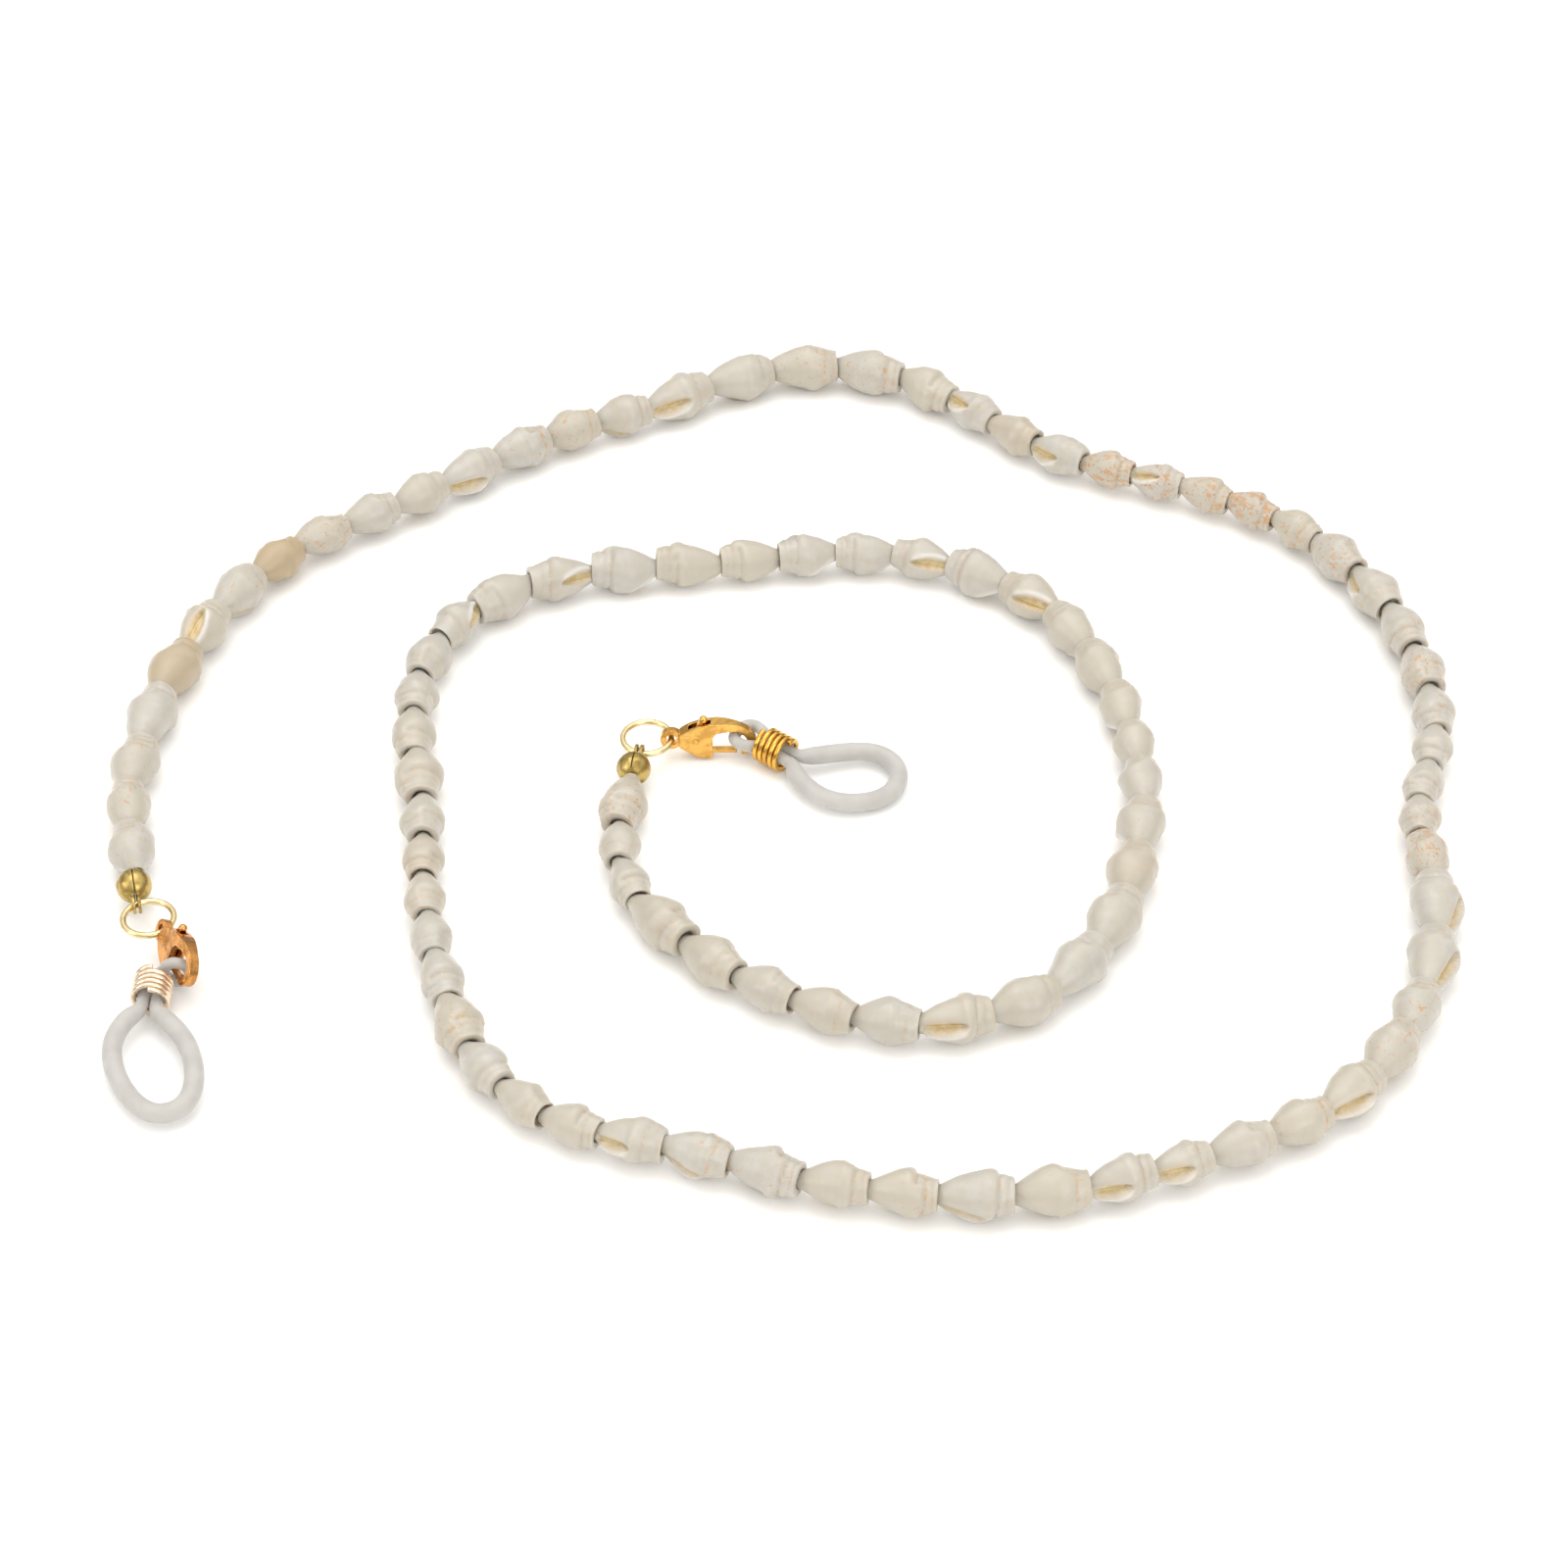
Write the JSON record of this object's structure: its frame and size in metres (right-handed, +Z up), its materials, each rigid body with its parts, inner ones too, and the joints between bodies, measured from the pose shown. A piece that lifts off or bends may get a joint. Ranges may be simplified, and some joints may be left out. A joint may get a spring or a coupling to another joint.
{
  "type": "eyeglasses chain strap",
  "caption": "Eyeglasses strap of drilled sea shells on a thread, with a lobster clasp and a coil-tightened silicone temple loop at each end.",
  "frame": {"origin": "middle of the laid-down strap's box, on the surface it lies on", "axes": "+Z up from the surface; +Y away from the viewer in the rest layout; the outer end of the strand is at -X"},
  "size_m": [0.16, 0.1564, 0.0063],
  "materials": {
    "shell": "natural sea shell, satin",
    "thread": "twisted nylon thread",
    "bead_tip": "plated, olive gold",
    "jump_ring": "plated, pale gold",
    "clasp_inner": "plated, yellow gold",
    "clasp_outer": "plated, copper gold",
    "coil_inner": "plated wire, rich gold",
    "coil_outer": "plated wire, pinkish gold",
    "spring": "spring steel wire",
    "silicone": "frosted translucent silicone"
  },
  "bodies": {
    "link_01": {"shells_01": "shell", "thread_span_01": "thread"},
    "link_02": {"shells_02": "shell", "thread_span_02": "thread"},
    "link_03": {"shells_03": "shell", "thread_span_03": "thread"},
    "link_04": {"shells_04": "shell", "thread_span_04": "thread"},
    "link_05": {"shells_05": "shell", "thread_span_05": "thread"},
    "link_06": {"shells_06": "shell", "thread_span_06": "thread"},
    "link_07": {"shells_07": "shell", "thread_span_07": "thread"},
    "link_08": {"shells_08": "shell", "thread_span_08": "thread"},
    "link_09": {"shells_09": "shell", "thread_span_09": "thread"},
    "link_10": {"shells_10": "shell", "thread_span_10": "thread"},
    "link_11": {"shells_11": "shell", "thread_span_11": "thread"},
    "link_12": {"shells_12": "shell", "thread_span_12": "thread"},
    "link_13": {"shells_13": "shell", "thread_span_13": "thread"},
    "link_14": {"shells_14": "shell", "thread_span_14": "thread"},
    "link_15": {"shells_15": "shell", "thread_span_15": "thread"},
    "link_16": {"shells_16": "shell", "thread_span_16": "thread"},
    "bead_tip_outer": {"bead_tip_outer": "bead_tip", "thread_knot_outer": "thread"},
    "jump_ring_outer": {"jump_ring_outer": "jump_ring"},
    "clasp_outer": {"clasp_body_outer": "clasp_outer", "clasp_pin_outer": "clasp_outer", "clasp_spring_outer": "spring"},
    "clasp_lever_outer": {"clasp_lever_outer": "clasp_outer"},
    "temple_loop_outer": {"temple_loop_outer": "silicone"},
    "wire_coil_outer": {"wire_coil_outer": "coil_outer"},
    "bead_tip_inner": {"bead_tip_inner": "bead_tip", "thread_knot_inner": "thread"},
    "jump_ring_inner": {"jump_ring_inner": "jump_ring"},
    "clasp_inner": {"clasp_body_inner": "clasp_inner", "clasp_pin_inner": "clasp_inner", "clasp_spring_inner": "spring"},
    "clasp_lever_inner": {"clasp_lever_inner": "clasp_inner"},
    "temple_loop_inner": {"temple_loop_inner": "silicone"},
    "wire_coil_inner": {"wire_coil_inner": "coil_inner"}
  },
  "joints": [
    {"name": "flex_side_01", "type": "hinge", "parent": "link_02", "child": "link_01", "pos_m": [-0.07031, 0.02365, 0.00305], "axis": [0, 0, 1], "range_deg": [-10, 10]},
    {"name": "flex_up_02", "type": "hinge", "parent": "link_03", "child": "link_02", "pos_m": [-0.03787, 0.05462, 0.00305], "axis": [0.6505, -0.7595, 0], "range_deg": [-10, 10]},
    {"name": "flex_side_03", "type": "hinge", "parent": "link_04", "child": "link_03", "pos_m": [0.00652, 0.07552, 0.00305], "axis": [0, 0, -1], "range_deg": [-10, 10]},
    {"name": "flex_up_04", "type": "hinge", "parent": "link_05", "child": "link_04", "pos_m": [0.0444, 0.05149, 0.00305], "axis": [0.3383, 0.941, 0], "range_deg": [-10, 10]},
    {"name": "flex_side_05", "type": "hinge", "parent": "link_06", "child": "link_05", "pos_m": [0.07435, 0.02373, 0.00305], "axis": [0, 0, 1], "range_deg": [-10, 10]},
    {"name": "flex_up_06", "type": "hinge", "parent": "link_07", "child": "link_06", "pos_m": [0.07331, -0.01858, 0.00305], "axis": [-0.9977, -0.0684, 0], "range_deg": [-10, 10]},
    {"name": "flex_side_07", "type": "hinge", "parent": "link_08", "child": "link_07", "pos_m": [0.05811, -0.0628, 0.00305], "axis": [0, 0, -1], "range_deg": [-10, 10]},
    {"name": "flex_up_08", "type": "hinge", "parent": "link_08", "child": "link_09", "pos_m": [0.01593, -0.07531, 0.00305], "axis": [-0.0748, -0.9972, 0], "range_deg": [-10, 10]},
    {"name": "flex_side_09", "type": "hinge", "parent": "link_09", "child": "link_10", "pos_m": [-0.02623, -0.06363, 0.00305], "axis": [0, 0, 1], "range_deg": [-10, 10]},
    {"name": "flex_up_10", "type": "hinge", "parent": "link_10", "child": "link_11", "pos_m": [-0.04188, -0.02551, 0.00305], "axis": [0.9958, 0.0916, 0], "range_deg": [-10, 10]},
    {"name": "flex_side_11", "type": "hinge", "parent": "link_11", "child": "link_12", "pos_m": [-0.04258, 0.01793, 0.00305], "axis": [0, 0, -1], "range_deg": [-10, 10]},
    {"name": "flex_up_12", "type": "hinge", "parent": "link_12", "child": "link_13", "pos_m": [-0.00124, 0.03424, 0.00305], "axis": [-0.168, 0.9858, 0], "range_deg": [-10, 10]},
    {"name": "flex_side_13", "type": "hinge", "parent": "link_13", "child": "link_14", "pos_m": [0.03665, 0.01604, 0.00305], "axis": [0, 0, 1], "range_deg": [-10, 10]},
    {"name": "flex_up_14", "type": "hinge", "parent": "link_14", "child": "link_15", "pos_m": [0.03858, -0.02845, 0.00305], "axis": [-0.9516, 0.3073, 0], "range_deg": [-10, 10]},
    {"name": "flex_side_15", "type": "hinge", "parent": "link_15", "child": "link_16", "pos_m": [0.0007, -0.04562, 0.00305], "axis": [0, 0, -1], "range_deg": [-10, 10]},
    {"name": "bead_tip_turn_outer", "type": "hinge", "parent": "link_01", "child": "bead_tip_outer", "pos_m": [-0.07523, -0.02477, 0.00307], "axis": [0, 0, 1], "range_deg": [-20, 20]},
    {"name": "jump_ring_swing_outer", "type": "hinge", "parent": "bead_tip_outer", "child": "jump_ring_outer", "pos_m": [-0.07417, -0.02976, 0.00289], "axis": [-0.9781, -0.2079, 0], "range_deg": [-6, 30]},
    {"name": "clasp_swing_outer", "type": "hinge", "parent": "jump_ring_outer", "child": "clasp_outer", "pos_m": [-0.07053, -0.03425, 0.00299], "axis": [-0.8108, -0.3132, 0.4945], "range_deg": [-12, 12]},
    {"name": "lever_open_outer", "type": "hinge", "parent": "clasp_outer", "child": "clasp_lever_outer", "pos_m": [-0.06927, -0.03683, 0.00342], "axis": [-0.8108, -0.3132, 0.4945], "range_deg": [0, 9], "stiffness_Nm_per_rad": 0.0002, "springref_deg": -17.19, "deforming": ["clasp_spring_outer"]},
    {"name": "temple_loop_swing_outer", "type": "hinge", "parent": "clasp_lever_outer", "child": "temple_loop_outer", "pos_m": [-0.06848, -0.04043, 0.00243], "axis": [0.3933, 0.3342, 0.8565], "range_deg": [-6, 6]},
    {"name": "wire_coil_slide_outer", "type": "slide", "parent": "temple_loop_outer", "child": "wire_coil_outer", "axis": [-0.0349, -0.999, -0.0262], "range_m": [0, 0.0007]},
    {"name": "bead_tip_turn_inner", "type": "hinge", "parent": "link_16", "child": "bead_tip_inner", "pos_m": [-0.01856, -0.00794, 0.00302], "axis": [0, 0, 1], "range_deg": [-20, 20]},
    {"name": "jump_ring_swing_inner", "type": "hinge", "parent": "bead_tip_inner", "child": "jump_ring_inner", "pos_m": [-0.01767, -0.00294, 0.00258], "axis": [0.9848, -0.1736, 0], "range_deg": [-6, 30]},
    {"name": "clasp_swing_inner", "type": "hinge", "parent": "jump_ring_inner", "child": "clasp_inner", "pos_m": [-0.01388, -0.00018, 0.00265], "axis": [0.0174, -0.9944, 0.1045], "range_deg": [-12, 12]},
    {"name": "lever_open_inner", "type": "hinge", "parent": "clasp_inner", "child": "clasp_lever_inner", "pos_m": [-0.01098, -0.00013, 0.00265], "axis": [0.0174, -0.9944, 0.1045], "range_deg": [0, 9], "stiffness_Nm_per_rad": 0.0002, "springref_deg": -17.19, "deforming": ["clasp_spring_inner"]},
    {"name": "temple_loop_swing_inner", "type": "hinge", "parent": "clasp_inner", "child": "temple_loop_inner", "pos_m": [-0.00428, -0.00002, 0.00263], "axis": [-0.0018, 0.1045, 0.9945], "range_deg": [-15, 15]},
    {"name": "wire_coil_slide_inner", "type": "slide", "parent": "temple_loop_inner", "child": "wire_coil_inner", "axis": [0.8168, -0.572, -0.075], "range_m": [0, 0.0007]}
  ]
}
